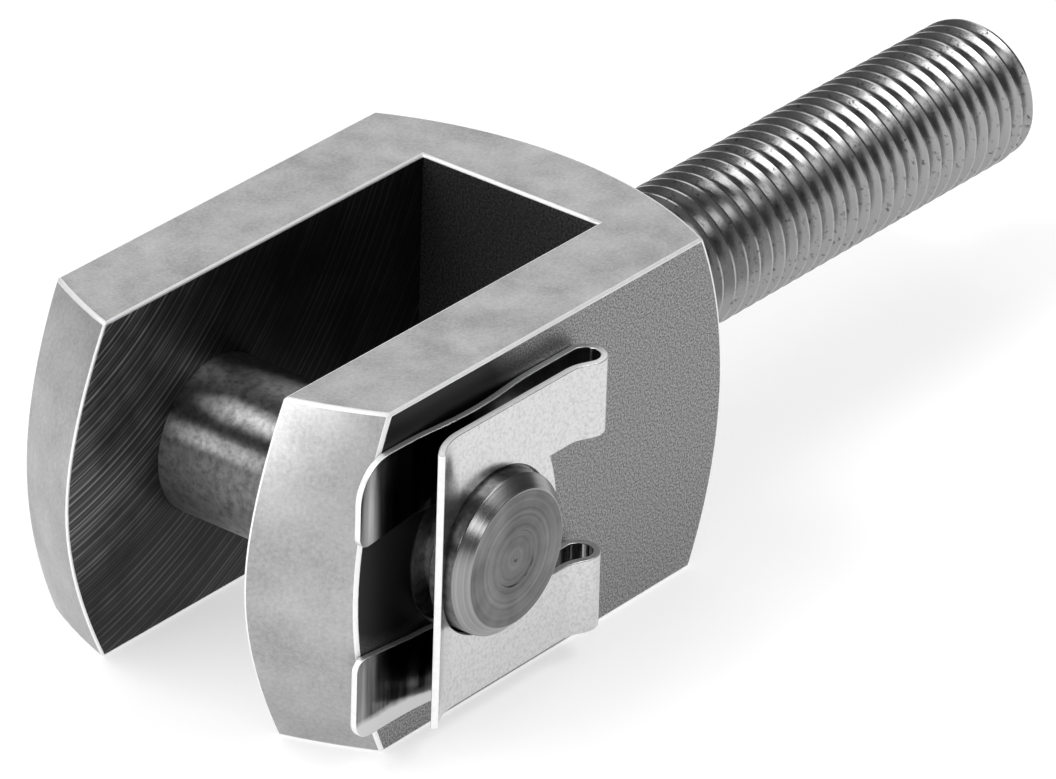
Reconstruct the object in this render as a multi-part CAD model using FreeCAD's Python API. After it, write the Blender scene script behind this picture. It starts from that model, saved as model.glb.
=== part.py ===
import FreeCAD, Part
import math
import os

# Tension rod clevis, with lengths in millimetres and angles in degrees.
# The origin is the middle of the clevis pin, midway between the two ears of the fork.
# +X runs along the threaded stud, -Y is the side of the retaining clip and +Z is up.

# Fork: a rectangular bar with a slot, turned convex at both ends.
fork_width = 40.0
fork_height = 35.5
slot_width = 21.3
slot_depth = 30.5
nose_reach = 25.1
nose_radius = 101.0
nose_offset = 31.3
back_reach = 43.1
back_radius = 46.0
edge_break = 0.3

# Stud: the nominal form of an M16 x 2 thread, with its relief groove and end chamfer.
stud_diameter = 16.0
stud_length = 65.0
stud_chamfer = 1.6
relief_diameter = 13.0
relief_length = 5.0

# Clevis pin: flat head, shank, groove and end collar.
pin_diameter = 16.0
pin_clearance = 0.05
head_overhang = 4.0
head_thickness = 3.0
head_chamfer = 0.5
groove_depth = 2.0
groove_width = 2.1
groove_inset = 0.2
collar_length = 3.9
collar_chamfer = 1.2

# Retaining clip: one strip of spring steel folded back on itself at two loops.
strip_thickness = 0.7
strip_width = 28.6
seat_clearance = 0.05
leg_clearance = 0.5
leg_reach = 16.6
mouth_reach = 9.0
mouth_pinch = 0.75
upper_tip_radius = 4.0
lower_tip_radius = 2.0
inner_tip_radius = 1.2
bow_front = 11.0
bow_back = 9.0
bow_rise = 0.6
loop_reach = 16.3
loop_hump = 1.0
loop_lean = 25.0
leaf_rise = 2.5
leaf_bend_radius = 4.0
leaf_reach = 9.8
flare_radius = 7.0
flare_angle = 40.0
hole_clearance = 0.3
hole_web = 0.9
window_reach = 8.0

# Values that follow from the sizes above.
half_width = fork_width / 2
pin_radius = pin_diameter / 2
neck_radius = pin_radius - groove_depth
stud_end = back_reach + stud_length
overrun = 1.0


def edge(*points):
    """Straight edge between two points, or the arc through three."""
    if len(points) == 3:
        return Part.Arc(*points).toShape()
    return Part.LineSegment(*points).toShape()


def polygon(points):
    """Face inside the closed outline with straight edges between the points."""
    return Part.Face(Part.makePolygon(points + points[:1]))


def turned_across(stations):
    """Solid turned about the Y axis, given as (distance towards the clip, radius) stations."""
    section = polygon([FreeCAD.Vector(radius, -station, 0) for station, radius in stations])
    return section.revolve(FreeCAD.Vector(0, 0, 0), FreeCAD.Vector(0, 1, 0), 360)


def turned_blank():
    """The fork's convex ends and the stud, as one turned shape about the X axis.

    The nose's arc is centred past the axis, so that the ears' ends slope like a shallow cone.
    """
    corner = math.hypot(half_width, fork_height / 2) + overrun
    nose_centre = math.sqrt(nose_radius**2 - nose_offset**2) - nose_reach
    back_centre = back_reach - back_radius

    def on_nose(radius):
        x = nose_centre - math.sqrt(nose_radius**2 - (radius + nose_offset) ** 2)
        return FreeCAD.Vector(x, 0, radius)

    def on_back(radius):
        return FreeCAD.Vector(back_centre + math.sqrt(back_radius**2 - radius**2), 0, radius)

    stud_radius = stud_diameter / 2
    relief_radius = relief_diameter / 2
    relief_end = back_reach + relief_length
    nose_tip = on_nose(0)
    nose_rim = on_nose(corner)
    back_rim = on_back(corner)
    relief_start = on_back(relief_radius)
    relief_stop = FreeCAD.Vector(relief_end, 0, relief_radius)
    thread_start = FreeCAD.Vector(relief_end + stud_radius - relief_radius, 0, stud_radius)
    thread_stop = FreeCAD.Vector(stud_end - stud_chamfer, 0, stud_radius)
    end_rim = FreeCAD.Vector(stud_end, 0, stud_radius - stud_chamfer)
    end_centre = FreeCAD.Vector(stud_end, 0, 0)
    edges = [
        edge(nose_tip, on_nose(corner / 2), nose_rim),
        edge(nose_rim, back_rim),
        edge(back_rim, on_back(corner / 2), relief_start),
        edge(relief_start, relief_stop),
        edge(relief_stop, thread_start),
        edge(thread_start, thread_stop),
        edge(thread_stop, end_rim),
        edge(end_rim, end_centre),
        edge(end_centre, nose_tip),
    ]
    section = Part.Face(Part.Wire(edges))
    return section.revolve(FreeCAD.Vector(0, 0, 0), FreeCAD.Vector(1, 0, 0), 360)


def fork():
    """Bar with turned ends and stud, cut by the slot and by the cross bore for the pin."""
    length = nose_reach + stud_end + 2 * overrun
    corner = FreeCAD.Vector(-nose_reach - overrun, -half_width, -fork_height / 2)
    bar = Part.makeBox(length, fork_width, fork_height, corner)
    long_edges = [e for e in bar.Edges if math.isclose(e.Length, length)]
    bar = bar.makeChamfer(edge_break, long_edges)

    slot_corner = FreeCAD.Vector(-nose_reach - overrun, -slot_width / 2, -fork_height / 2 - overrun)
    slot_length = nose_reach + overrun + slot_depth
    slot = Part.makeBox(slot_length, slot_width, fork_height + 2 * overrun, slot_corner)

    bore_radius = pin_radius + pin_clearance
    mouth_radius = bore_radius + edge_break
    mouth_start = half_width - edge_break
    bore = turned_across(
        [
            (-half_width, 0),
            (-half_width, mouth_radius),
            (-mouth_start, bore_radius),
            (mouth_start, bore_radius),
            (half_width, mouth_radius),
            (half_width, 0),
        ]
    )
    return bar.common(turned_blank()).cut(slot).cut(bore)


def clevis_pin():
    """Headed pin turned about the Y axis, with its groove and collar on the clip's side."""
    head_radius = pin_radius + head_overhang
    head_seat = -half_width - seat_clearance
    head_end = head_seat - head_thickness
    shoulder = half_width - groove_inset
    collar_start = shoulder + groove_width
    collar_end = collar_start + collar_length

    return turned_across(
        [
            (head_end, 0),
            (head_end, head_radius - head_chamfer),
            (head_end + head_chamfer, head_radius),
            (head_seat, head_radius),
            (head_seat, pin_radius),
            (shoulder, pin_radius),
            (shoulder, neck_radius),
            (collar_start, neck_radius),
            (collar_start, pin_radius),
            (collar_end - collar_chamfer, pin_radius),
            (collar_end, pin_radius - collar_chamfer),
            (collar_end, 0),
        ]
    )


def strip_section(start, heading, path):
    """Section of a bent strip about its middle line, given as (radius or length, turn) steps.

    The section's plane has X along the stud and its second coordinate away from the fork.
    """
    near_edges = []
    far_edges = []
    x, rise = start

    def beside(x, rise, heading, offset):
        side = math.radians(heading + 90)
        return FreeCAD.Vector(x + offset * math.cos(side), -half_width - rise - offset * math.sin(side), 0)

    def step(x, rise, heading, size, turn):
        if turn == 0:
            angle = math.radians(heading)
            return x + size * math.cos(angle), rise + size * math.sin(angle), heading
        hand = math.copysign(1, turn)
        before = math.radians(heading + 90 * hand)
        after = math.radians(heading + turn + 90 * hand)
        x += size * (math.cos(before) - math.cos(after))
        rise += size * (math.sin(before) - math.sin(after))
        return x, rise, heading + turn

    for size, turn in path:
        middle = step(x, rise, heading, size if turn else size / 2, turn / 2)
        stop = step(x, rise, heading, size, turn)
        for edges, offset in ((near_edges, -strip_thickness / 2), (far_edges, strip_thickness / 2)):
            points = [beside(x, rise, heading, offset), beside(*middle, offset), beside(*stop, offset)]
            edges.append(edge(*points) if turn else edge(points[0], points[2]))
        x, rise, heading = stop
    caps = [
        edge(near_edges[0].firstVertex(True).Point, far_edges[0].firstVertex(True).Point),
        edge(near_edges[-1].lastVertex(True).Point, far_edges[-1].lastVertex(True).Point),
    ]
    ordered = Part.__sortEdges__(near_edges + far_edges + caps)
    return Part.Face(Part.Wire(ordered))


def bent_strip():
    """The clip's whole strip, from the flare of its front leaf round the loop to the leg tips."""
    leg_middle = seat_clearance + strip_thickness / 2
    leaf_middle = leaf_rise + strip_thickness / 2
    loop_radius = (leaf_middle + loop_hump - leg_middle) / 2
    loop_centre = loop_reach - strip_thickness / 2 - loop_radius
    lean = math.radians(loop_lean)
    ramp = (loop_hump - (leaf_bend_radius + loop_radius) * (1 - math.cos(lean))) / math.sin(lean)
    leaf_end = loop_centre - ramp * math.cos(lean) - (leaf_bend_radius + loop_radius) * math.sin(lean)
    flare = math.radians(flare_angle)
    flare_run = flare_radius * math.sin(flare)
    flare_climb = flare_radius * (1 - math.cos(flare))

    # Each bow is a shallow arch of three arcs, that lifts the legs off the ear beside the pin.
    bow_run = bow_front + bow_back
    bow_turn = 2 * math.atan(2 * bow_rise / bow_run)
    bow_radius = bow_run / 4 / math.sin(bow_turn)
    bow = math.degrees(bow_turn)
    path = [
        (flare_radius, flare_angle),
        (leaf_reach - flare_run + leaf_end, 0),
        (leaf_bend_radius, loop_lean),
        (ramp, 0),
        (loop_radius, -180 - loop_lean),
        (loop_centre - bow_back, 0),
        (bow_radius, -bow),
        (bow_radius, 2 * bow),
        (bow_radius, -bow),
        (leg_reach - bow_front, 0),
    ]
    section = strip_section((-leaf_reach, leaf_middle + flare_climb), -flare_angle, path)
    section.translate(FreeCAD.Vector(0, 0, -strip_width / 2))
    return section.extrude(FreeCAD.Vector(0, 0, strip_width))


def flat(x, z):
    """Point of an outline that lies in the XZ plane."""
    return FreeCAD.Vector(x, 0, z)


def cutter(face, start, stop):
    """Solid with the outline of a face in the XZ plane, reaching from one Y to another."""
    face.translate(FreeCAD.Vector(0, start, 0))
    return face.extrude(FreeCAD.Vector(0, stop - start, 0))


def retaining_clip():
    """Bent strip with a hole for the collar, a window behind it and a gap between the legs."""
    half_gap = neck_radius + leg_clearance
    half_mouth = half_gap - mouth_pinch
    hole_radius = pin_radius + hole_clearance
    window_end = loop_reach + overrun

    # The cuts start inside the ear, part the legs from the leaf at the split, or pass the loop.
    near = overrun - half_width
    split = -half_width - leaf_rise + strip_thickness / 2
    far = -half_width - leaf_rise - loop_reach

    # The window's edge beside the hole is convex, and leaves a narrow web round the hole.
    window_edges = [
        edge(flat(window_reach, half_gap), flat(hole_radius + hole_web, 0), flat(window_reach, -half_gap)),
        edge(flat(window_reach, -half_gap), flat(window_end, -half_gap)),
        edge(flat(window_end, -half_gap), flat(window_end, half_gap)),
        edge(flat(window_end, half_gap), flat(window_reach, half_gap)),
    ]
    window = cutter(Part.Face(Part.Wire(window_edges)), far, near)

    # The gap clears the pin's neck and narrows from there to the tips, which keep the clip on.
    gap_outline = polygon(
        [
            flat(-leg_reach - overrun, half_mouth),
            flat(-leg_reach, half_mouth),
            flat(-mouth_reach, half_gap),
            flat(window_end, half_gap),
            flat(window_end, -half_gap),
            flat(-mouth_reach, -half_gap),
            flat(-leg_reach, -half_mouth),
            flat(-leg_reach - overrun, -half_mouth),
        ]
    )
    leg_gap = cutter(gap_outline, split, near)
    hole = Part.makeCylinder(hole_radius, split - far, FreeCAD.Vector(0, far, 0), FreeCAD.Vector(0, 1, 0))
    clip = bent_strip().cut(window).cut(leg_gap).cut(hole)

    tip_rise = seat_clearance + strip_thickness / 2
    tips = (
        (strip_width / 2, upper_tip_radius),
        (half_mouth, inner_tip_radius),
        (-half_mouth, inner_tip_radius),
        (-strip_width / 2, lower_tip_radius),
    )
    for height, radius in tips:
        corner = FreeCAD.Vector(-leg_reach, -half_width - tip_rise, height)
        tip_edges = [e for e in clip.Edges if (e.CenterOfMass - corner).Length < strip_thickness / 2]
        clip = clip.makeFillet(radius, tip_edges)
    return clip


os.makedirs("parts", exist_ok=True)
for name, make in (("fork", fork), ("clevis_pin", clevis_pin), ("retaining_clip", retaining_clip)):
    shape = make()
    print(name, shape.isValid(), len(shape.Solids), round(shape.Volume, 1))
    shape.exportStep(f"parts/{name}.step")
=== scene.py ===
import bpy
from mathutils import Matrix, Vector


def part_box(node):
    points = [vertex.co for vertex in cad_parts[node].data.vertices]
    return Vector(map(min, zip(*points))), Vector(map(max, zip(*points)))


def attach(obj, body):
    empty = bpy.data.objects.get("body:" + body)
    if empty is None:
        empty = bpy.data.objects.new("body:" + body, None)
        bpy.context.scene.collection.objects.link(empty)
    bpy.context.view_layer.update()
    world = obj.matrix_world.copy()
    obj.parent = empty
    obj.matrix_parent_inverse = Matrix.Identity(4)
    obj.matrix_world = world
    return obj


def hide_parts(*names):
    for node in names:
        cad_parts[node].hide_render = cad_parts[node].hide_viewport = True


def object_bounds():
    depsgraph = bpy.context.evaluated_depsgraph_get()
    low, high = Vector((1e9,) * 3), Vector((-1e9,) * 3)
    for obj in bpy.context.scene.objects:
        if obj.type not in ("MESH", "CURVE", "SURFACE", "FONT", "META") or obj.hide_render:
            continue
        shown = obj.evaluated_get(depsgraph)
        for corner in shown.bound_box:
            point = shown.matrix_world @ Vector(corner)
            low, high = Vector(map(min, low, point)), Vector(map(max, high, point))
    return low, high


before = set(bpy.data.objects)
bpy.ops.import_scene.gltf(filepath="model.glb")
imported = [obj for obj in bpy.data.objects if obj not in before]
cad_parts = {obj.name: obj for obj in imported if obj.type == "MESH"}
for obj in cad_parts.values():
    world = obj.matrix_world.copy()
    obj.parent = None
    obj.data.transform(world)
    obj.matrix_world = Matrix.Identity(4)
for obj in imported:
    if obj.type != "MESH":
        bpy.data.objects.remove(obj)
cad_box = [list(corner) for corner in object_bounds()]

import math

import bmesh
import bpy
from mathutils import Matrix, Vector


# The camera stands in front of the fork, on the side of the clip and above it.
# Its place was worked out from the fork's corners, the pin's end and the stud.
MM = 0.001
camera_azimuth = math.radians(217.677)
camera_elevation = math.radians(28.376)
camera_roll = math.radians(1.877)
camera_distance = 783.33 * MM
camera_aim_right = 21.22 * MM
camera_aim_up = 7.36 * MM
camera_sensor = 36.0
focal_pixels = 8390.5
picture_width = 1056

camera_turn = (
    Matrix.Rotation(camera_azimuth + math.pi / 2, 3, "Z")
    @ Matrix.Rotation(math.pi / 2 - camera_elevation, 3, "X")
    @ Matrix.Rotation(camera_roll, 3, "Z")
)
camera_place = camera_turn @ Vector((camera_aim_right, camera_aim_up, camera_distance))
camera_data = bpy.data.cameras.new("camera")
camera_data.sensor_width = camera_sensor
camera_data.lens = focal_pixels / picture_width * camera_sensor
camera_data.clip_end = 20
camera = bpy.data.objects.new("camera", camera_data)
camera.matrix_world = Matrix.Translation(camera_place) @ camera_turn.to_4x4()
bpy.context.scene.collection.objects.link(camera)
bpy.context.scene.camera = camera
bpy.context.scene.view_settings.view_transform = "Standard"


# The studio: seamless white paper under a sky that is white at the horizon and dim overhead, which
# gives bare metal its dark bands, and soft lamps.
def linear(hex_colour):
    """Linear RGBA of an sRGB colour written as six hex digits."""
    channels = [int(hex_colour[i : i + 2], 16) / 255 for i in (0, 2, 4)]
    return [c / 12.92 if c <= 0.04045 else ((c + 0.055) / 1.055) ** 2.4 for c in channels] + [1]


def add(tree, kind, inputs=None, **settings):
    """Adds a node with its settings. An input is a value, a socket, or a node that gives its first output.
    It is named, or numbered where its node has two inputs of one name."""
    made = tree.nodes.new(kind)
    for name, value in settings.items():
        setattr(made, name, value)
    for name, value in (inputs or {}).items():
        if isinstance(name, int):
            socket = made.inputs[name]
        else:
            socket = next(s for s in made.inputs if s.enabled and s.name == name)
        if isinstance(value, bpy.types.Node):
            value = next(s for s in value.outputs if s.enabled)
        if isinstance(value, bpy.types.NodeSocket):
            tree.links.new(value, socket)
        else:
            socket.default_value = value
    return made


def seen_directly(tree):
    """1 where the camera sees a surface, in a reflection and through glass too, and 0 for other light."""
    path = add(tree, "ShaderNodeLightPath")
    seen = {0: path.outputs["Is Camera Ray"], 1: path.outputs["Is Glossy Ray"]}
    seen_or_mirrored = add(tree, "ShaderNodeMath", seen, operation="MAXIMUM")
    through = {0: seen_or_mirrored, 1: path.outputs["Is Transmission Ray"]}
    return add(tree, "ShaderNodeMath", through, operation="MAXIMUM")


ambient_level = 0.55
ceiling_level = 0.08
horizon_top = math.sin(math.radians(3))
ceiling_start = math.sin(math.radians(10))
world = bpy.data.worlds.new("studio")
world.use_nodes = True
sky = world.node_tree
sky.nodes.clear()
direction = add(sky, "ShaderNodeTexCoord").outputs["Generated"]
sky_height = add(sky, "ShaderNodeSeparateXYZ", {"Vector": direction}).outputs["Z"]
fall = {"Value": sky_height, "From Min": horizon_top, "From Max": ceiling_start, "To Min": 1.0}
fall["To Max"] = ceiling_level
brightness = add(sky, "ShaderNodeMapRange", fall, interpolation_type="SMOOTHSTEP")
level = add(sky, "ShaderNodeMix", {"Factor": seen_directly(sky), "A": ambient_level, "B": brightness})
sky_light = add(sky, "ShaderNodeBackground", {"Color": linear("FFFFFF"), "Strength": level})
add(sky, "ShaderNodeOutputWorld", {"Surface": sky_light})
bpy.context.scene.world = world

floor_level = cad_box[0][2]
floor_reach = 2.0
paper_glow = 0.57
floor_mesh = bmesh.new()
bmesh.ops.create_grid(floor_mesh, x_segments=1, y_segments=1, size=floor_reach)
bmesh.ops.translate(floor_mesh, verts=floor_mesh.verts, vec=(0, 0, floor_level))
floor_data = bpy.data.meshes.new("floor")
floor_mesh.to_mesh(floor_data)
floor_mesh.free()
floor = bpy.data.objects.new("floor", floor_data)
bpy.context.scene.collection.objects.link(floor)
paper = bpy.data.materials.new("white_paper")
paper.use_nodes = True
sheet = paper.node_tree
sheet.nodes.clear()
matt = add(sheet, "ShaderNodeBsdfDiffuse", {"Color": linear("B4B4B4")})
strength = add(sheet, "ShaderNodeMath", {0: seen_directly(sheet), 1: paper_glow}, operation="MULTIPLY")
glow = add(sheet, "ShaderNodeEmission", {"Color": linear("FFFFFF"), "Strength": strength})
both = add(sheet, "ShaderNodeAddShader", {0: matt, 1: glow})
add(sheet, "ShaderNodeOutputMaterial", {"Surface": both})
floor_data.materials.append(paper)


def lamp(name, azimuth, elevation, distance, width, height, radiance):
    """Soft rectangular lamp that faces the fork, as bright as its radiance where it is mirrored."""
    data = bpy.data.lights.new(name, "AREA")
    data.shape = "RECTANGLE"
    data.size = width
    data.size_y = height
    data.energy = radiance * math.pi * width * height
    around = Matrix.Rotation(math.radians(azimuth + 90), 4, "Z")
    tilt = Matrix.Rotation(math.radians(90 - elevation), 4, "X")
    made = bpy.data.objects.new(name, data)
    made.matrix_world = around @ tilt @ Matrix.Translation((0, 0, distance))
    bpy.context.scene.collection.objects.link(made)


# Lamps are placed in degrees and metres. Azimuths count from +X, the way of the stud, towards +Y, the
# side away from the clip.
lamp("back_box", azimuth=38, elevation=36, distance=0.8, width=0.5, height=0.44, radiance=1.5)
lamp("left_box", azimuth=134, elevation=60, distance=0.55, width=0.30, height=0.20, radiance=7.0)
lamp("front_box", azimuth=173, elevation=21, distance=0.6, width=0.28, height=0.22, radiance=7.5)
lamp("rim_box", azimuth=300, elevation=55, distance=0.6, width=0.3, height=0.2, radiance=5.0)
lamp("catch_light", azimuth=252, elevation=29, distance=0.6, width=0.12, height=0.12, radiance=4.0)


# The fork is one steel bar end with its stud. Top and underside are ground, the sides are left as
# drawn, the ends are turned with the stud, the slot is milled and the cross bore is drilled.
# Its edges are broken by hand, so that they catch the light, and are coloured near white as a painted
# highlight.
fork_width = 40.0 * MM
fork_height = 35.5 * MM
slot_width = 21.3 * MM
slot_end = 30.5 * MM
nose_reach = 25.1 * MM
nose_radius = 101.0 * MM
nose_offset = 31.3 * MM
back_reach = 43.1 * MM
back_radius = 46.0 * MM
broken_edge_width = 0.3 * MM
pin_bore_radius = 8.05 * MM
bore_chamfer = 0.3 * MM
smooth_up_to = math.radians(32)
half_slot = slot_width / 2
half_width = fork_width / 2
half_height = fork_height / 2


def new_object(name, mesh, finishes):
    """Object at the origin, with its place in its mesh, smooth shaded up to its sharp edges."""
    data = bpy.data.meshes.new(name)
    mesh.to_mesh(data)
    mesh.free()
    for finish in finishes:
        data.materials.append(finish)
    data.shade_smooth()
    data.set_sharp_from_angle(angle=smooth_up_to)
    made = bpy.data.objects.new(name, data)
    bpy.context.scene.collection.objects.link(made)
    return made


def blank_material(name):
    """New material, its emptied node tree, and object coordinates in millimetres."""
    material = bpy.data.materials.new(name)
    material.use_nodes = True
    tree = material.node_tree
    tree.nodes.clear()
    metres = add(tree, "ShaderNodeTexCoord").outputs["Object"]
    place = add(tree, "ShaderNodeVectorMath", {0: metres, "Scale": 1 / MM}, operation="SCALE")
    return material, tree, place


def rings_about(tree, place, centre, plane, spacing):
    """Uneven rings about a centre, with a mean spacing in mm, in the plane whose two axes are 1."""
    offset = add(tree, "ShaderNodeVectorMath", {0: place, 1: centre}, operation="SUBTRACT")
    flat = add(tree, "ShaderNodeVectorMath", {0: offset, 1: plane}, operation="MULTIPLY")
    radius = add(tree, "ShaderNodeVectorMath", {0: flat}, operation="LENGTH")
    return add(
        tree,
        "ShaderNodeTexNoise",
        {"W": radius, "Scale": 1 / spacing, "Detail": 2.0},
        noise_dimensions="1D",
    )


def ground_flat():
    """Ground steel: satin and light grey, with faint clouds. The wheel's own lines are too fine to show,
    so they are drawn as an even grain 0.33 mm wide."""
    material, tree, place = blank_material("ground_flat")
    grain_width = 0.33
    cloud_width = 4.0
    grain = add(
        tree,
        "ShaderNodeTexNoise",
        {"Vector": place, "Scale": 1 / grain_width, "Detail": 4.0, "Roughness": 0.7},
    )
    clouds = add(tree, "ShaderNodeTexNoise", {"Vector": place, "Scale": 1 / cloud_width, "Detail": 2.0})
    tone = add(tree, "ShaderNodeMath", {0: grain, 1: clouds}, operation="ADD")
    level = add(tree, "ShaderNodeMapRange", {"Value": tone, "From Min": 0.5, "From Max": 1.5})
    colours = {"Factor": level, "A": linear("868686"), "B": linear("C4C4C4")}
    colour = add(tree, "ShaderNodeMix", colours, data_type="RGBA")
    relief = add(tree, "ShaderNodeBump", {"Height": grain, "Distance": 0.02 * MM, "Strength": 0.4})
    steel = {"Base Color": colour, "Metallic": 1.0, "Roughness": 0.42, "Normal": relief}
    shader = add(tree, "ShaderNodeBsdfPrincipled", steel)
    add(tree, "ShaderNodeOutputMaterial", {"Surface": shader})
    return material


def drawn_side():
    """Drawn and pickled bar: mid grey, with dense dark specks, which are drawn 0.2 mm wide so that they
    show. Round the clip a painted shade darkens it to near black, where the clip shades the side."""
    material, tree, place = blank_material("drawn_side")
    speck_width = 0.2
    # Painted shade round the clip: its centre, its reach and its ragged fade, in mm.
    grease_centre = (-9.0, -20.0, 9.0)
    grease_reach = 17.5
    grease_fade = 3.0
    ripple_width = 2.0
    specks = add(
        tree,
        "ShaderNodeTexNoise",
        {"Vector": place, "Scale": 1 / speck_width, "Detail": 3.0, "Roughness": 0.8},
    )
    bare = add(tree, "ShaderNodeMapRange", {"Value": specks, "From Min": 0.4, "From Max": 0.6})
    speckled = {"Factor": bare, "A": linear("545454"), "B": linear("A8A8A8")}
    dry = add(tree, "ShaderNodeMix", speckled, data_type="RGBA")
    away = add(tree, "ShaderNodeVectorMath", {0: place, 1: grease_centre}, operation="DISTANCE")
    ripple = add(tree, "ShaderNodeTexNoise", {"Vector": place, "Scale": 1 / ripple_width, "Detail": 3.0})
    ragged = add(tree, "ShaderNodeMath", {0: away, 1: ripple}, operation="ADD")
    wiped = add(
        tree,
        "ShaderNodeMapRange",
        {"Value": ragged, "From Min": grease_reach - grease_fade, "From Max": grease_reach + grease_fade},
    )
    # Near black inside the painted shade's reach, speckled steel outside it.
    colours = {"Factor": wiped, "A": linear("343434"), "B": dry}
    colour = add(tree, "ShaderNodeMix", colours, data_type="RGBA")
    relief = add(tree, "ShaderNodeBump", {"Height": specks, "Distance": 0.01 * MM, "Strength": 0.2})
    steel = {"Base Color": colour, "Metallic": 1.0, "Roughness": 0.45, "Normal": relief}
    shader = add(tree, "ShaderNodeBsdfPrincipled", steel)
    add(tree, "ShaderNodeOutputMaterial", {"Surface": shader})
    return material


def turned_end():
    """Finely turned and brushed steel: light and satin, with faint rings about the stud's axis and a
    mottle as wide as a fingertip's wipe."""
    material, tree, place = blank_material("turned_end")
    feed = 0.4
    mottle_width = 0.4
    wipe_width = 6.0
    rings = rings_about(tree, place, (0, 0, 0), (0, 1, 1), feed)
    mottle = add(
        tree,
        "ShaderNodeTexNoise",
        {"Vector": place, "Scale": 1 / mottle_width, "Detail": 4.0, "Roughness": 0.7},
    )
    wipes = add(tree, "ShaderNodeTexNoise", {"Vector": place, "Scale": 1 / wipe_width, "Detail": 2.0})
    tone = add(tree, "ShaderNodeMath", {0: mottle, 1: wipes}, operation="ADD")
    level = add(tree, "ShaderNodeMapRange", {"Value": tone, "From Min": 0.65, "From Max": 1.35})
    colours = {"Factor": level, "A": linear("969696"), "B": linear("BCBCBC")}
    colour = add(tree, "ShaderNodeMix", colours, data_type="RGBA")
    relief = add(tree, "ShaderNodeBump", {"Height": rings, "Distance": 0.006 * MM, "Strength": 0.2})
    steel = {"Base Color": colour, "Metallic": 1.0, "Roughness": 0.42, "Normal": relief}
    shader = add(tree, "ShaderNodeBsdfPrincipled", steel)
    add(tree, "ShaderNodeOutputMaterial", {"Surface": shader})
    return material


def milled_wall():
    """Milled slot wall: near black. The cutter's teeth left bright arcs; a painted sheen lifts them and the
    wall towards the mouth's upper corner, where the arcs are clearest."""
    material, tree, place = blank_material("milled_wall")
    cutter_centre = (-31.0, 0.0, 43.5)
    tooth_spacing = 0.36
    # Painted sheen: full within reach of the mouth's upper corner, faint far from it.
    upper_mouth = (-22.0, 10.65, 14.0)
    clear_within = 6.0
    faint_beyond = 24.0
    patch_width = 7.0
    arcs = rings_about(tree, place, cutter_centre, (1, 0, 1), tooth_spacing)
    # The lines' raised floor, times the painted sheen, lifts the whole wall near the mouth.
    contrast = {"Value": arcs, "From Min": 0.48, "From Max": 0.7, "To Min": 0.18}
    lines = add(tree, "ShaderNodeMapRange", contrast)
    away = add(tree, "ShaderNodeVectorMath", {0: place, 1: upper_mouth}, operation="DISTANCE")
    nearness = {"Value": away, "From Min": faint_beyond, "From Max": clear_within, "To Min": 0.1}
    near_mouth = add(tree, "ShaderNodeMapRange", nearness)
    blotches = add(tree, "ShaderNodeTexNoise", {"Vector": place, "Scale": 1 / patch_width, "Detail": 4.0})
    patches = add(tree, "ShaderNodeMapRange", {"Value": blotches, "From Min": 0.2, "From Max": 0.55})
    clear_lines = add(tree, "ShaderNodeMath", {0: lines, 1: near_mouth}, operation="MULTIPLY")
    marks = add(tree, "ShaderNodeMath", {0: clear_lines, 1: patches}, operation="MULTIPLY")
    colours = {"Factor": marks, "A": linear("282828"), "B": linear("F0F0F0")}
    colour = add(tree, "ShaderNodeMix", colours, data_type="RGBA")
    relief = add(tree, "ShaderNodeBump", {"Height": arcs, "Distance": 0.03 * MM, "Strength": 0.3})
    steel = {"Base Color": colour, "Metallic": 1.0, "Roughness": 0.46, "Normal": relief}
    shader = add(tree, "ShaderNodeBsdfPrincipled", steel)
    add(tree, "ShaderNodeOutputMaterial", {"Surface": shader})
    return material


def slot_floor():
    """End wall of the slot, cut by the end mill's tip: dark, with a fine pale speckle 0.25 mm wide."""
    material, tree, place = blank_material("slot_floor")
    speckle_width = 0.25
    speckle = add(
        tree,
        "ShaderNodeTexNoise",
        {"Vector": place, "Scale": 1 / speckle_width, "Detail": 4.0, "Roughness": 0.8},
    )
    level = add(tree, "ShaderNodeMapRange", {"Value": speckle, "From Min": 0.4, "From Max": 0.65})
    colours = {"Factor": level, "A": linear("383838"), "B": linear("747474")}
    colour = add(tree, "ShaderNodeMix", colours, data_type="RGBA")
    relief = add(tree, "ShaderNodeBump", {"Height": speckle, "Distance": 0.03 * MM, "Strength": 0.5})
    steel = {"Base Color": colour, "Metallic": 1.0, "Roughness": 0.45, "Normal": relief}
    shader = add(tree, "ShaderNodeBsdfPrincipled", steel)
    add(tree, "ShaderNodeOutputMaterial", {"Surface": shader})
    return material


def broken_edge():
    """Edges broken with a fine file: bright bare steel, whose scratches scatter the light, and whose near
    white colour is a painted highlight.
    """
    material, tree, place = blank_material("broken_edge")
    scratch_width = 0.7
    scratches = add(tree, "ShaderNodeTexNoise", {"Vector": place, "Scale": 1 / scratch_width, "Detail": 3.0})
    colours = {"Factor": scratches, "A": linear("F0F0F0"), "B": linear("FFFFFF")}
    colour = add(tree, "ShaderNodeMix", colours, data_type="RGBA")
    steel = {"Base Color": colour, "Metallic": 1.0, "Roughness": 0.6}
    shader = add(tree, "ShaderNodeBsdfPrincipled", steel)
    add(tree, "ShaderNodeOutputMaterial", {"Surface": shader})
    return material


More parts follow.
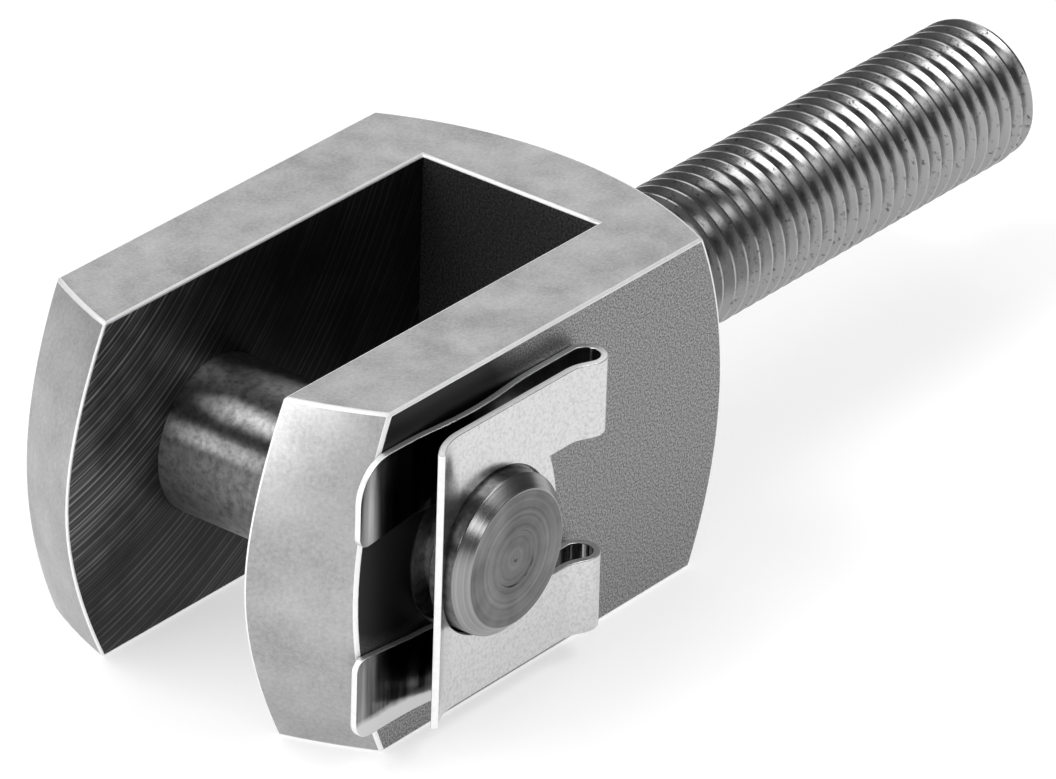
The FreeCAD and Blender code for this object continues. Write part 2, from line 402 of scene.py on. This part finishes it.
def cut_thread():
    """Cut thread: bright flanks that mirror the lamps, with dark nicks and pits half a millimetre wide."""
    material, tree, place = blank_material("cut_thread")
    pit_width = 0.55
    pits = add(
        tree,
        "ShaderNodeTexNoise",
        {"Vector": place, "Scale": 1 / pit_width, "Detail": 4.0, "Roughness": 0.6},
    )
    clean = add(tree, "ShaderNodeMapRange", {"Value": pits, "From Min": 0.3, "From Max": 0.42})
    colours = {"Factor": clean, "A": linear("606060"), "B": linear("A4A4A4")}
    colour = add(tree, "ShaderNodeMix", colours, data_type="RGBA")
    relief = add(tree, "ShaderNodeBump", {"Height": pits, "Distance": 0.03 * MM, "Strength": 0.3})
    steel = {"Base Color": colour, "Metallic": 1.0, "Roughness": 0.24, "Normal": relief}
    shader = add(tree, "ShaderNodeBsdfPrincipled", steel)
    add(tree, "ShaderNodeOutputMaterial", {"Surface": shader})
    return material


fork_finishes = [ground_flat(), drawn_side(), turned_end(), milled_wall()]
fork_finishes += [slot_floor(), broken_edge(), cut_thread()]
GROUND, DRAWN, TURNED, MILLED, SLOT_END, EDGE, THREAD = range(len(fork_finishes))

along, across, upright = Vector((1, 0, 0)), Vector((0, 1, 0)), Vector((0, 0, 1))
hair = 0.001 * MM
squarely = 0.99
corner_angle = math.radians(50)


def everything(mesh):
    """All of a bmesh's elements, as the operators take them."""
    return mesh.verts[:] + mesh.edges[:] + mesh.faces[:]


def slice_at(mesh, axis, places):
    """Adds an edge loop where each plane square to the axis passes through the mesh."""
    for place in places:
        bmesh.ops.bisect_plane(mesh, geom=everything(mesh), plane_co=axis * place, plane_no=axis)


def evenly(start, stop, parts):
    """The places that divide a length into equal parts."""
    return [start + (stop - start) * k / parts for k in range(1, parts)]


fork_mesh = bmesh.new()
bmesh.ops.create_cube(fork_mesh, size=1)
bmesh.ops.scale(fork_mesh, verts=fork_mesh.verts, vec=(nose_reach + back_reach, fork_width, fork_height))
bmesh.ops.translate(fork_mesh, verts=fork_mesh.verts, vec=((back_reach - nose_reach) / 2, 0, 0))

# The slot is opened through the bar, and its walls close it again.
slice_at(fork_mesh, across, (-half_slot, half_slot))
slice_at(fork_mesh, along, (slot_end,))
mouth = []
for face in fork_mesh.faces:
    centre = face.calc_center_median()
    if abs(centre.y) < half_slot - hair and centre.x < slot_end - hair:
        mouth.append(face)
bmesh.ops.delete(fork_mesh, geom=mouth, context="FACES")
rims = [e for e in fork_mesh.edges if e.is_boundary and abs(e.verts[0].co.z - e.verts[1].co.z) < hair]
bmesh.ops.bridge_loops(fork_mesh, edges=rims)

# Both ends are turned: every point of them goes to the cutter's curve at its radius.
strips_in_slot = 12
strips_in_ear = 5
strips_in_height = 24
slice_at(fork_mesh, across, evenly(-half_slot, half_slot, strips_in_slot))
for side in (-1, 1):
    slice_at(fork_mesh, across, evenly(side * half_slot, side * half_width, strips_in_ear))
slice_at(fork_mesh, upright, evenly(-half_height, half_height, strips_in_height))
nose_centre = math.sqrt(nose_radius**2 - nose_offset**2) - nose_reach
for vert in fork_mesh.verts:
    radius = math.hypot(vert.co.y, vert.co.z)
    if abs(vert.co.x + nose_reach) < hair:
        vert.co.x = nose_centre - math.sqrt(nose_radius**2 - (radius + nose_offset) ** 2)
    elif abs(vert.co.x - back_reach) < hair:
        vert.co.x = back_reach - back_radius + math.sqrt(back_radius**2 - radius**2)
bmesh.ops.recalc_face_normals(fork_mesh, faces=fork_mesh.faces)


def fork_finish(face):
    """Finish of a face of the bar, by where it lies and which way it looks."""
    centre = face.calc_center_median()
    in_slot = abs(centre.y) < half_slot + hair and centre.x < slot_end + hair
    if abs(face.normal.z) > squarely:
        return GROUND
    if abs(face.normal.y) > squarely:
        return MILLED if in_slot else DRAWN
    return SLOT_END if in_slot and centre.x > 0 else TURNED


for face in fork_mesh.faces:
    face.material_index = fork_finish(face)
bmesh.ops.bevel(
    fork_mesh,
    geom=[e for e in fork_mesh.edges if e.calc_face_angle_signed() > corner_angle],
    offset=broken_edge_width,
    affect="EDGES",
    segments=3,
    profile=0.5,
    material=EDGE,
    clamp_overlap=True,
)
clevis_fork = new_object("clevis_fork", fork_mesh, fork_finishes)


def turned(stations, axis, radial, steps):
    """Closed bmesh turned about an axis, from stations that are a place along it and a radius."""
    mesh = bmesh.new()
    points = [mesh.verts.new(axis * place + radial * radius) for place, radius in stations]
    for pair in zip(points, points[1:]):
        mesh.edges.new(pair)
    bmesh.ops.spin(
        mesh,
        geom=everything(mesh),
        cent=(0, 0, 0),
        axis=axis,
        angle=2 * math.pi,
        steps=steps,
        use_merge=True,
        use_duplicate=False,
    )
    bmesh.ops.remove_doubles(mesh, verts=mesh.verts, dist=hair)
    bmesh.ops.recalc_face_normals(mesh, faces=mesh.faces)
    return mesh


# The cross bore, with its chamfered mouths, is cut by a turned plug.
plug_reach = half_width + bore_chamfer
plug_end = (plug_reach, pin_bore_radius + 2 * bore_chamfer)
plug_mouth = (half_width - bore_chamfer, pin_bore_radius)
plug_half = [(plug_reach, 0), plug_end, plug_mouth]
plug_stations = plug_half + [(-place, radius) for place, radius in reversed(plug_half)]
bore_mesh = turned(plug_stations, across, along, steps=96)
for face in bore_mesh.faces:
    face.material_index = TURNED
bore = new_object("bore", bore_mesh, fork_finishes)

# The stud's thread is one profile turned once along the helix and repeated at the pitch. It is then
# cut back to the relief's slope and to the end's chamfer.
pitch = 2.0 * MM
crest_radius = 7.85 * MM
crest_flat = pitch / 8
root_flat = pitch / 4
flank_slope = math.radians(60)
flank_cuts = 3
steps_per_turn = 80
relief_radius = 6.5 * MM
relief_end = 48.1 * MM
stud_end = 108.1 * MM
end_radius = 6.4 * MM
neck_start = 38.0 * MM

flank_run = (pitch - crest_flat - root_flat) / 2
root_radius = crest_radius - flank_run * math.tan(flank_slope)
root_start = crest_flat + flank_run
profile = [
    (0, crest_radius),
    (crest_flat, crest_radius),
    (root_start, root_radius),
    (root_start + root_flat, root_radius),
    (pitch, crest_radius),
]
stud_mesh = bmesh.new()
corners = [stud_mesh.verts.new((relief_end - pitch + x, 0, radius)) for x, radius in profile]
profile_edges = [stud_mesh.edges.new(pair) for pair in zip(corners, corners[1:])]
flanks = profile_edges[1::2]
bmesh.ops.subdivide_edges(stud_mesh, edges=flanks, cuts=flank_cuts)
bmesh.ops.spin(
    stud_mesh,
    geom=everything(stud_mesh),
    cent=(0, 0, 0),
    axis=along,
    dvec=along * pitch / steps_per_turn,
    angle=2 * math.pi,
    steps=steps_per_turn,
    use_duplicate=False,
)
one_turn = everything(stud_mesh)
turns = math.ceil((stud_end - relief_end) / pitch) + 2
for turn in range(1, turns):
    copied = bmesh.ops.duplicate(stud_mesh, geom=one_turn)["geom"]
    copied_verts = [x for x in copied if isinstance(x, bmesh.types.BMVert)]
    bmesh.ops.translate(stud_mesh, verts=copied_verts, vec=along * pitch * turn)
bmesh.ops.remove_doubles(stud_mesh, verts=stud_mesh.verts, dist=hair)
for stop, outwards in ((relief_end, -along), (stud_end, along)):
    bmesh.ops.bisect_plane(
        stud_mesh,
        geom=everything(stud_mesh),
        plane_co=along * stop,
        plane_no=outwards,
        clear_outer=True,
    )
for vert in stud_mesh.verts:
    radius = math.hypot(vert.co.y, vert.co.z)
    allowed = min(relief_radius + vert.co.x - relief_end, end_radius + stud_end - vert.co.x)
    if radius > allowed:
        vert.co.yz *= allowed / radius
for face in stud_mesh.faces:
    face.material_index = THREAD

# A plain neck leads from the thread into the bar, and a flat end closes the stud.
end_rim = [e for e in stud_mesh.edges if e.is_boundary and e.verts[0].co.x > stud_end - hair]
neck_rim = [e for e in stud_mesh.edges if e.is_boundary and e.verts[0].co.x < relief_end + hair]
sleeve = bmesh.ops.extrude_edge_only(stud_mesh, edges=neck_rim)["geom"]
sleeve_verts = [x for x in sleeve if isinstance(x, bmesh.types.BMVert)]
sleeve_faces = [x for x in sleeve if isinstance(x, bmesh.types.BMFace)]
sleeve_rim = [x for x in sleeve if isinstance(x, bmesh.types.BMEdge) and x.is_boundary]
bmesh.ops.translate(stud_mesh, verts=sleeve_verts, vec=along * (neck_start - relief_end))
caps = bmesh.ops.edgeloop_fill(stud_mesh, edges=end_rim + sleeve_rim)["faces"]
for face in caps + sleeve_faces:
    face.material_index = TURNED
bmesh.ops.recalc_face_normals(stud_mesh, faces=stud_mesh.faces)
stud = new_object("stud", stud_mesh, fork_finishes)

for operation, other in (("DIFFERENCE", bore), ("UNION", stud)):
    cut = clevis_fork.modifiers.new(operation.lower(), "BOOLEAN")
    cut.operation = operation
    cut.solver = "EXACT"
    cut.object = other
evaluated = clevis_fork.evaluated_get(bpy.context.evaluated_depsgraph_get())
finished = bpy.data.meshes.new_from_object(evaluated)
clevis_fork.modifiers.clear()
clevis_fork.data = finished
for used in (bore, stud):
    bpy.data.objects.remove(used)
finished.shade_smooth()
finished.set_sharp_from_angle(angle=smooth_up_to)
fork_shading = clevis_fork.modifiers.new("even_shading", "WEIGHTED_NORMAL")
fork_shading.keep_sharp = True
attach(clevis_fork, "fork")
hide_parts("fork")


# The clevis pin is turned from bright bar: a flat head, a burnished shank, a groove for the clip and a
# collar with a faced end, which keeps its turning rings and a shallow centre.
head_radius = 12.0 * MM
head_chamfer = 0.5 * MM
head_seat = 20.05 * MM
shank_radius = 8.0 * MM
groove_radius = 6.0 * MM
groove_start = 19.8 * MM
groove_end = 21.9 * MM
collar_chamfer = 1.2 * MM
dish_radius = 2.7 * MM
dish_depth = 0.12 * MM
centre_radius = 0.4 * MM
centre_depth = 0.4 * MM
pin_edge_break = 0.1 * MM
ridge_angle = math.radians(30)
pin_low, pin_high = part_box("clevis_pin")
collar_end = -pin_low.y
head_end = -pin_high.y


def turned_shank():
    """Turned and burnished bar: bright, with soft blotches. Its turning marks, too fine to show, run
    round the pin and draw every reflection out along it."""
    material, tree, place = blank_material("turned_shank")
    blotch_width = 0.8
    blotches = add(
        tree,
        "ShaderNodeTexNoise",
        {"Vector": place, "Scale": 1 / blotch_width, "Detail": 5.0, "Roughness": 0.65},
    )
    level = add(tree, "ShaderNodeMapRange", {"Value": blotches, "From Min": 0.3, "From Max": 0.6})
    colours = {"Factor": level, "A": linear("606060"), "B": linear("909090")}
    colour = add(tree, "ShaderNodeMix", colours, data_type="RGBA")
    pin_axis = add(tree, "ShaderNodeCombineXYZ", {"Y": 1.0})
    steel = {
        "Base Color": colour,
        "Metallic": 1.0,
        "Roughness": 0.34,
        "Anisotropic": 0.93,
        "Tangent": pin_axis,
    }
    shader = add(tree, "ShaderNodeBsdfPrincipled", steel)
    add(tree, "ShaderNodeOutputMaterial", {"Surface": shader})
    return material


def faced_end():
    """Faced end of the pin: mid grey, with the faint rings that the facing tool left, and smudges."""
    material, tree, place = blank_material("faced_end")
    feed = 0.6
    smudge_width = 3.0
    rings = rings_about(tree, place, (0, 0, 0), (1, 0, 1), feed)
    smudges = add(tree, "ShaderNodeTexNoise", {"Vector": place, "Scale": 1 / smudge_width, "Detail": 3.0})
    tone = add(tree, "ShaderNodeMath", {0: rings, 1: smudges}, operation="ADD")
    level = add(tree, "ShaderNodeMapRange", {"Value": tone, "From Min": 0.6, "From Max": 1.4})
    colours = {"Factor": level, "A": linear("505050"), "B": linear("828282")}
    colour = add(tree, "ShaderNodeMix", colours, data_type="RGBA")
    relief = add(tree, "ShaderNodeBump", {"Height": rings, "Distance": 0.01 * MM, "Strength": 0.12})
    steel = {"Base Color": colour, "Metallic": 1.0, "Roughness": 0.36, "Normal": relief}
    shader = add(tree, "ShaderNodeBsdfPrincipled", steel)
    add(tree, "ShaderNodeOutputMaterial", {"Surface": shader})
    return material


def turned_chamfer():
    """Chamfer of the pin's end and rim of its head: smoothly turned, so that it mirrors bright and dark."""
    material, tree, place = blank_material("turned_chamfer")
    feed = 0.4
    rings = rings_about(tree, place, (0, 0, 0), (1, 0, 1), feed)
    colours = {"Factor": rings, "A": linear("747474"), "B": linear("ACACAC")}
    colour = add(tree, "ShaderNodeMix", colours, data_type="RGBA")
    steel = {"Base Color": colour, "Metallic": 1.0, "Roughness": 0.24}
    shader = add(tree, "ShaderNodeBsdfPrincipled", steel)
    add(tree, "ShaderNodeOutputMaterial", {"Surface": shader})
    return material


pin_finishes = [turned_shank(), faced_end(), turned_chamfer()]
SHANK, FACE, CHAMFER = range(len(pin_finishes))
pin_stations = [
    (head_end, 0),
    (head_end, head_radius - head_chamfer),
    (head_end + head_chamfer, head_radius),
    (-head_seat, head_radius),
    (-head_seat, shank_radius),
    (groove_start, shank_radius),
    (groove_start, groove_radius),
    (groove_end, groove_radius),
    (groove_end, shank_radius),
    (collar_end - collar_chamfer, shank_radius),
    (collar_end, shank_radius - collar_chamfer),
    (collar_end, dish_radius + dish_depth),
    (collar_end - dish_depth, dish_radius),
    (collar_end - dish_depth, centre_radius),
    (collar_end - centre_depth, 0),
]
pin_mesh = turned(pin_stations, -across, along, steps=128)


def pin_finish(face):
    """Finish of a face of the pin: the flat ends are faced, and the chamfer and the head's rim shine."""
    centre = face.calc_center_median()
    from_axis = math.hypot(centre.x, centre.z)
    if centre.y > head_seat + hair:
        return FACE if face.normal.y > squarely else CHAMFER
    if centre.y > collar_chamfer - collar_end + hair:
        return SHANK
    return CHAMFER if from_axis > shank_radius - collar_chamfer + hair else FACE


for face in pin_mesh.faces:
    face.material_index = pin_finish(face)
ring_edges = [
    e
    for e in pin_mesh.edges
    if e.calc_face_angle_signed() > ridge_angle
    and math.hypot(e.verts[0].co.x, e.verts[0].co.z) > dish_radius + centre_radius
]
bmesh.ops.bevel(
    pin_mesh,
    geom=ring_edges,
    offset=pin_edge_break,
    affect="EDGES",
    segments=2,
    profile=0.5,
    material=CHAMFER,
    clamp_overlap=True,
)
turned_pin = new_object("turned_pin", pin_mesh, pin_finishes)
pin_shading = turned_pin.modifiers.new("even_shading", "WEIGHTED_NORMAL")
pin_shading.keep_sharp = True
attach(turned_pin, "pin")
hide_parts("clevis_pin")


# The retaining clip is one strip of hardened spring steel, blanked with its hole and window and then
# folded. Its outer faces keep the mill's bright finish, its inner faces are painted near black as shade
# with painted reflections, and its sheared edges are near white as a painted highlight.
def spring_strip():
    """Outer side of the cold rolled strip: almost white, mirrors softly, with faint specks 0.33 mm wide."""
    material, tree, place = blank_material("spring_strip")
    speck_width = 0.33
    specks = add(
        tree,
        "ShaderNodeTexNoise",
        {"Vector": place, "Scale": 1 / speck_width, "Detail": 4.0, "Roughness": 0.7},
    )
    level = add(tree, "ShaderNodeMapRange", {"Value": specks, "From Min": 0.3, "From Max": 0.55})
    colours = {"Factor": level, "A": linear("B8B8B8"), "B": linear("D2D2D2")}
    colour = add(tree, "ShaderNodeMix", colours, data_type="RGBA")
    relief = add(tree, "ShaderNodeBump", {"Height": specks, "Distance": 0.004 * MM, "Strength": 0.15})
    steel = {"Base Color": colour, "Metallic": 1.0, "Roughness": 0.24, "Normal": relief}
    shader = add(tree, "ShaderNodeBsdfPrincipled", steel)
    add(tree, "ShaderNodeOutputMaterial", {"Surface": shader})
    return material


def oiled_strip():
    """Inner side of the folded strip: near black as a painted shade, with painted reflections in pale
    streaks and lighter towards the folds, and light grey along the clip's lower edge as painted light."""
    material, tree, place = blank_material("oiled_strip")
    # Below this height the strip is light grey, a painted light along the clip's lower edge.
    wiped_below = -12.0
    wipe_fade = 0.4
    # Painted reflections: lighter towards the folds, and in pale streaks drawn out upright.
    thin_from, thin_to = -6.0, 8.0
    ripple_width = 2.2
    run_width = 1.5
    run_length = 17.0
    parts = add(tree, "ShaderNodeSeparateXYZ", {"Vector": place})
    ripple = add(tree, "ShaderNodeTexNoise", {"Vector": place, "Scale": 1 / ripple_width, "Detail": 2.0})
    ragged = add(tree, "ShaderNodeMath", {0: parts.outputs["Z"], 1: ripple}, operation="ADD")
    oiled = add(
        tree,
        "ShaderNodeMapRange",
        {"Value": ragged, "From Min": wiped_below - wipe_fade, "From Max": wiped_below + wipe_fade},
    )
    along_strip = {"Value": parts.outputs["X"], "From Min": thin_from, "From Max": thin_to}
    thin = add(tree, "ShaderNodeMapRange", along_strip)
    run_scale = (1 / run_width, 1 / run_width, 1 / run_length)
    drawn_out = add(tree, "ShaderNodeMapping", {"Vector": place, "Scale": run_scale})
    runs = add(tree, "ShaderNodeTexNoise", {"Vector": drawn_out, "Scale": 1.0, "Detail": 2.0})
    pale_runs = add(tree, "ShaderNodeMapRange", {"Value": runs, "From Min": 0.4, "From Max": 0.8})
    thinned = add(tree, "ShaderNodeMath", {0: pale_runs, 1: thin}, operation="MAXIMUM")
    # Near black painted shade, lifted by the painted reflections.
    film = {"Factor": thinned, "A": linear("262626"), "B": linear("B0B0B0")}
    oil = add(tree, "ShaderNodeMix", film, data_type="RGBA")
    # Light grey painted light below, the painted shade above.
    colours = {"Factor": oiled, "A": linear("CCCCCC"), "B": oil}
    colour = add(tree, "ShaderNodeMix", colours, data_type="RGBA")
    steel = {"Base Color": colour, "Metallic": 1.0, "Roughness": 0.16}
    shader = add(tree, "ShaderNodeBsdfPrincipled", steel)
    add(tree, "ShaderNodeOutputMaterial", {"Surface": shader})
    return material


def sheared_edge():
    """Edge of the strip as the blanking tool sheared it: bare and bright, smoother than a filed edge, and
    near white as a painted highlight.
    """
    material, tree, place = blank_material("sheared_edge")
    tear_width = 0.5
    tears = add(tree, "ShaderNodeTexNoise", {"Vector": place, "Scale": 1 / tear_width, "Detail": 3.0})
    colours = {"Factor": tears, "A": linear("E8E8E8"), "B": linear("FFFFFF")}
    colour = add(tree, "ShaderNodeMix", colours, data_type="RGBA")
    steel = {"Base Color": colour, "Metallic": 1.0, "Roughness": 0.45}
    shader = add(tree, "ShaderNodeBsdfPrincipled", steel)
    add(tree, "ShaderNodeOutputMaterial", {"Surface": shader})
    return material


clip_finishes = [spring_strip(), oiled_strip(), sheared_edge()]
OUTSIDE, INSIDE, SHEARED = range(len(clip_finishes))
fold_middle = Vector((14.2 * MM, -22.1 * MM))
fold_start = 10.0 * MM
edge_lean = 0.05
side_lean = 0.7
edge_round = 0.08 * MM
flat_angle = math.radians(0.3)


def clip_finish(face):
    """Finish of a face of the strip: its edges look up, down or along it, and its faces look away from
    the middle of the fold, or towards it."""
    centre = face.calc_center_median()
    middle = Vector((min(centre.x, fold_middle.x), fold_middle.y, centre.z))
    end_edge = centre.x < fold_start and abs(face.normal.y) < side_lean
    if abs(face.normal.z) > edge_lean or end_edge:
        return SHEARED
    return OUTSIDE if face.normal.dot(centre - middle) > 0 else INSIDE


clip_mesh = bmesh.new()
clip_mesh.from_mesh(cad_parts["retaining_clip"].data)
bmesh.ops.remove_doubles(clip_mesh, verts=clip_mesh.verts, dist=hair)
bmesh.ops.dissolve_limit(
    clip_mesh,
    angle_limit=flat_angle,
    verts=clip_mesh.verts,
    edges=clip_mesh.edges,
)
for face in clip_mesh.faces:
    face.material_index = clip_finish(face)
spring_clip = new_object("spring_clip", clip_mesh, clip_finishes)
soften = spring_clip.modifiers.new("soft_edges", "BEVEL")
soften.limit_method = "ANGLE"
soften.angle_limit = corner_angle
soften.width = edge_round
soften.segments = 2
clip_shading = spring_clip.modifiers.new("even_shading", "WEIGHTED_NORMAL")
clip_shading.keep_sharp = True
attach(spring_clip, "clip")
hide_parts("retaining_clip")
